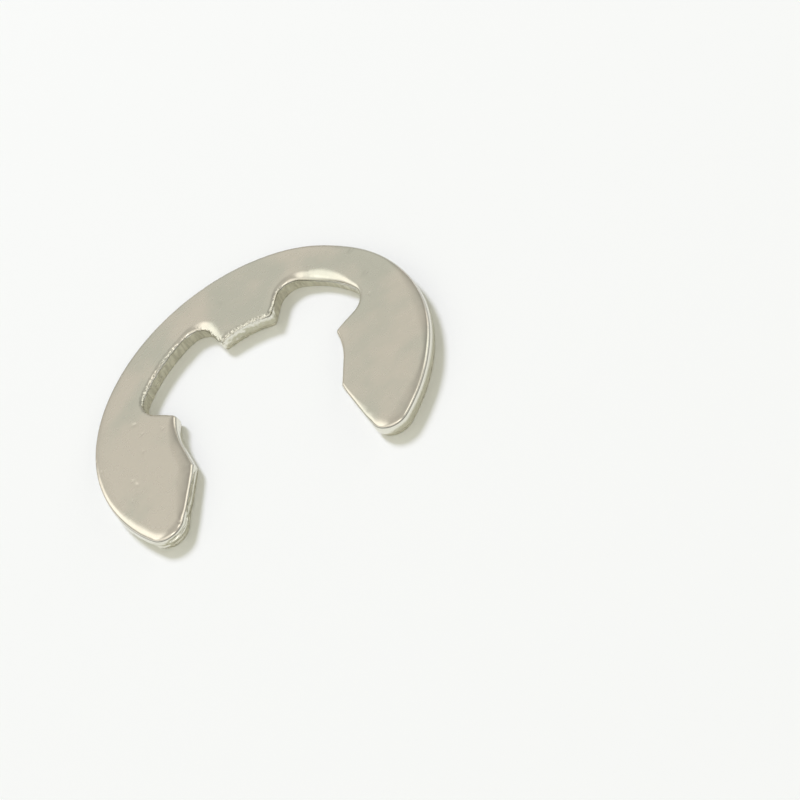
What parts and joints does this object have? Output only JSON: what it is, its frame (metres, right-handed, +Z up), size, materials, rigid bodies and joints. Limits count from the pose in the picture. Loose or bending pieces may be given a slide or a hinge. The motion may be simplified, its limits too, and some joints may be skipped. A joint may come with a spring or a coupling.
{
  "type": "e clip",
  "caption": "Flat stamped e-shaped retaining clip with inward lugs, relief notches and a flared mouth; it snaps sideways into a shaft groove and stops parts sliding off.",
  "frame": {"origin": "centre of the circle that the lugs grip, at the lower face, which the clip lies on", "axes": "+Z up, out of the face with the rolled edge; the mouth opens towards -Y and the centre lug is on +Y; X runs from arm to arm"},
  "size_m": [0.02, 0.0171, 0.001],
  "materials": {
    "spring_steel": "satin, tumbled after stamping, with a rolled upper edge and a duller sheared wall"
  },
  "bodies": {
    "root": {"e_clip": "spring_steel"}
  },
  "joints": []
}
